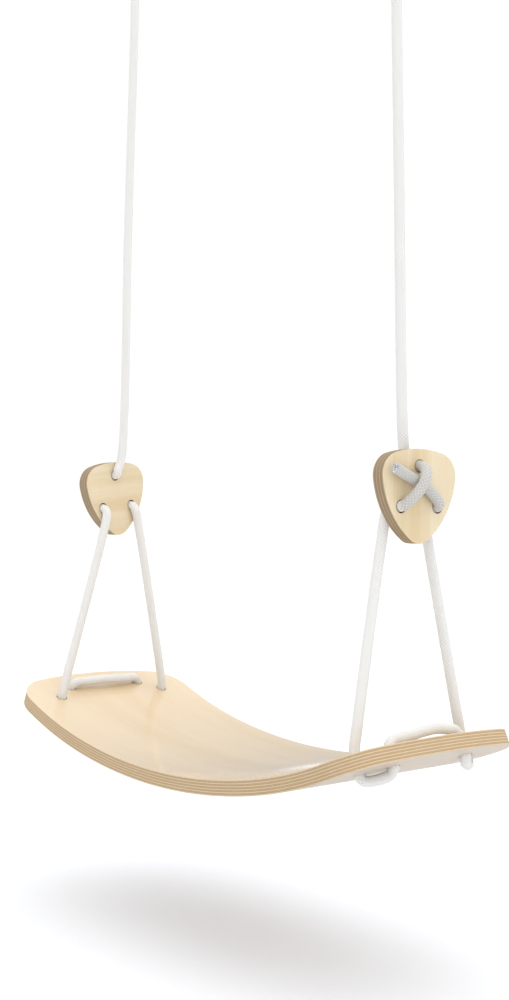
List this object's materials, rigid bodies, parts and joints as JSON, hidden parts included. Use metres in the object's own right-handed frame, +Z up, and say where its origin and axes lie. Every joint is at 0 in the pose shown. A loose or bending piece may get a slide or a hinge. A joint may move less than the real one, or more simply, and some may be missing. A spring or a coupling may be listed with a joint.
{
  "type": "hanging board swing",
  "caption": "Indoor swing with a curved plywood seat on two cotton ropes, each with a three-hole plywood rope adjuster, hung from two ceiling brackets with bushed links and snap hooks.",
  "frame": {"origin": "middle of the ceiling face between the two brackets, at the centre of the four screw holes", "axes": "+X along the seat from the left rope to the right rope, +Y to the back edge of the seat, +Z up, out of the ceiling face"},
  "size_m": [0.5786, 0.219, 1.0509],
  "materials": {
    "birch_ply": "satin",
    "cotton_rope": "matte",
    "zinc_steel": "satin",
    "nylon": "matte"
  },
  "bodies": {
    "brackets": {"right_bracket": "zinc_steel", "right_pivot_bolt": "zinc_steel", "right_pivot_nut": "zinc_steel", "right_bushing": "nylon", "right_spacers": "nylon", "left_bracket": "zinc_steel", "left_pivot_bolt": "zinc_steel", "left_pivot_nut": "zinc_steel", "left_bushing": "nylon", "left_spacers": "nylon"},
    "swing_links": {"right_link": "zinc_steel", "right_hook": "zinc_steel", "right_gate_pin": "zinc_steel", "right_thimble": "zinc_steel", "right_whipping": "cotton_rope", "right_rope_eye": "cotton_rope", "left_link": "zinc_steel", "left_hook": "zinc_steel", "left_gate_pin": "zinc_steel", "left_thimble": "zinc_steel", "left_whipping": "cotton_rope", "left_rope_eye": "cotton_rope"},
    "right_gate": {"right_gate": "zinc_steel"},
    "left_gate": {"left_gate": "zinc_steel"},
    "standing_ropes": {"right_standing_rope": "cotton_rope", "left_standing_rope": "cotton_rope"},
    "adjusters": {"right_adjuster": "birch_ply", "right_crossing_rope": "cotton_rope", "right_tail_rope": "cotton_rope", "left_adjuster": "birch_ply", "left_crossing_rope": "cotton_rope", "left_tail_rope": "cotton_rope"},
    "seat": {"seat_board": "birch_ply", "right_front_leg": "cotton_rope", "right_rear_leg": "cotton_rope", "right_stitch": "cotton_rope", "left_front_leg": "cotton_rope", "left_rear_leg": "cotton_rope", "left_stitch": "cotton_rope"}
  },
  "joints": [
    {"name": "swing", "type": "hinge", "parent": "brackets", "child": "swing_links", "pos_m": [0, 0, -0.026], "axis": [1, 0, 0], "range_deg": [-45, 45]},
    {"name": "right_gate_hinge", "type": "hinge", "parent": "swing_links", "child": "right_gate", "pos_m": [0.22, 0, -0.0915], "axis": [0, -1, 0], "range_deg": [0, 25], "stiffness_Nm_per_rad": 0.05},
    {"name": "left_gate_hinge", "type": "hinge", "parent": "swing_links", "child": "left_gate", "pos_m": [-0.22, 0, -0.0915], "axis": [0, 1, 0], "range_deg": [0, 25], "stiffness_Nm_per_rad": 0.05},
    {"name": "rope_take_up", "type": "slide", "parent": "swing_links", "child": "standing_ropes", "axis": [0, 0, 1], "range_m": [-0.05, 0.12], "deforming": ["right_standing_rope", "left_standing_rope"]},
    {"name": "seat_pitch", "type": "hinge", "parent": "standing_ropes", "child": "adjusters", "pos_m": [0, 0, -0.738], "axis": [1, 0, 0], "range_deg": [-25, 25]},
    {"name": "seat_drop", "type": "slide", "parent": "adjusters", "child": "seat", "axis": [0, 0, 1], "range_m": [-0.06, 0.025], "deforming": ["right_front_leg", "right_rear_leg", "left_front_leg", "left_rear_leg"]}
  ],
  "couplings": [
    {"joint": "seat_drop", "follows": "rope_take_up", "ratio": -0.5}
  ]
}
